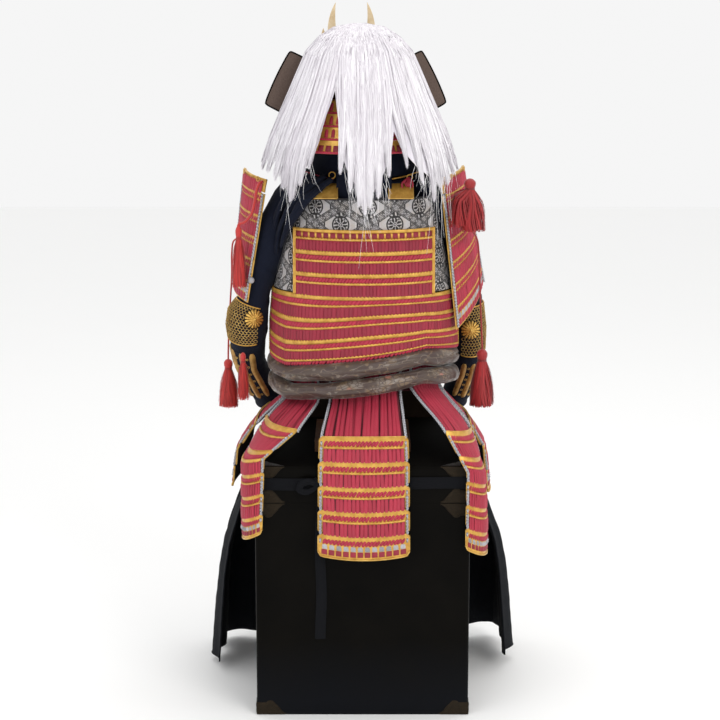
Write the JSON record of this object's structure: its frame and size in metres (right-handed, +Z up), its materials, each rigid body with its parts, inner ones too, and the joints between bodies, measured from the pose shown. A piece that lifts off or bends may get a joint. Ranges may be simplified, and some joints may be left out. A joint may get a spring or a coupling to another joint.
{
  "type": "samurai armour on its chest stand",
  "caption": "Samurai armour with red lacing, white-haired helmet, sleeves, skirt and sash, hung on a wooden stand on its black lacquered chest.",
  "frame": {"origin": "middle of the chest's underside, on the floor", "axes": "+Z up, +Y the way the armour faces, +X the wearer's right"},
  "size_m": [0.6757, 0.5354, 1.454],
  "materials": {
    "black_lacquer": "deep black-brown lacquer with a soft gloss",
    "stand_wood": "plain oiled wood",
    "brocade_leather": "silver-grey pattern of wheels and frets on black",
    "red_lacing": "silk lacing in close upright bands with gilt plate edges between",
    "gilt": "gilt lacquer, satin, a little worn",
    "brown_lacquer": "dark brown lacquered iron",
    "brown_leather": "dark brown leather with a black rim",
    "sash_satin": "mauve-brown satin brocade with pale flowers",
    "navy_cloth": "matt navy cloth",
    "ring_mail": "gilt ring mail on dark cloth",
    "white_hair": "long white hair with lavender-grey shade",
    "red_silk": "twisted silk cord and tassels"
  },
  "bodies": {
    "root": {"chest_body": "black_lacquer", "chest_lid": "black_lacquer", "stand_frame": "stand_wood", "stand_head": "stand_wood", "do_back_upper": "brocade_leather", "do_front_upper": "red_lacing", "do_waist_back": "red_lacing", "do_waist_front": "red_lacing", "back_laced_panel": "red_lacing", "shoulder_strap_left": "gilt", "shoulder_strap_right": "gilt", "collar": "navy_cloth", "sash_upper": "sash_satin", "sash_lower": "sash_satin", "sash_knot": "sash_satin", "helmet_bowl": "brown_lacquer", "helmet_peak": "brown_lacquer", "neck_guard": "red_lacing", "turnback_left": "brown_leather", "turnback_right": "brown_leather", "crest": "gilt", "hair": "white_hair", "thigh_cloth_left": "navy_cloth", "thigh_cloth_right": "navy_cloth", "tie_band": "navy_cloth", "tie_tail": "navy_cloth", "plates_back_centre": "red_lacing", "lacing_back_centre": "red_lacing", "plates_back_left": "red_lacing", "lacing_back_left": "red_lacing", "plates_back_right": "red_lacing", "lacing_back_right": "red_lacing", "plates_side_left": "red_lacing", "lacing_side_left": "red_lacing", "plates_side_right": "red_lacing", "lacing_side_right": "red_lacing", "plates_front_left": "red_lacing", "lacing_front_left": "red_lacing", "plates_front_right": "red_lacing", "lacing_front_right": "red_lacing", "sleeve_left": "navy_cloth", "mail_left": "ring_mail", "splints_left": "brown_lacquer", "elbow_boss_left": "gilt", "sode_left": "red_lacing", "sode_top_left": "gilt", "sleeve_right": "navy_cloth", "mail_right": "ring_mail", "splints_right": "brown_lacquer", "elbow_boss_right": "gilt", "sode_right": "red_lacing", "sode_top_right": "gilt", "tassel_left_low": "red_silk", "tassel_left_inner": "red_silk", "tassel_left_high": "red_silk", "tassel_right_low": "red_silk", "tassel_right_high": "red_silk", "cord_left_thick": "red_silk", "cord_left_thin": "red_silk", "cord_right_thin": "red_silk"}
  },
  "joints": []
}
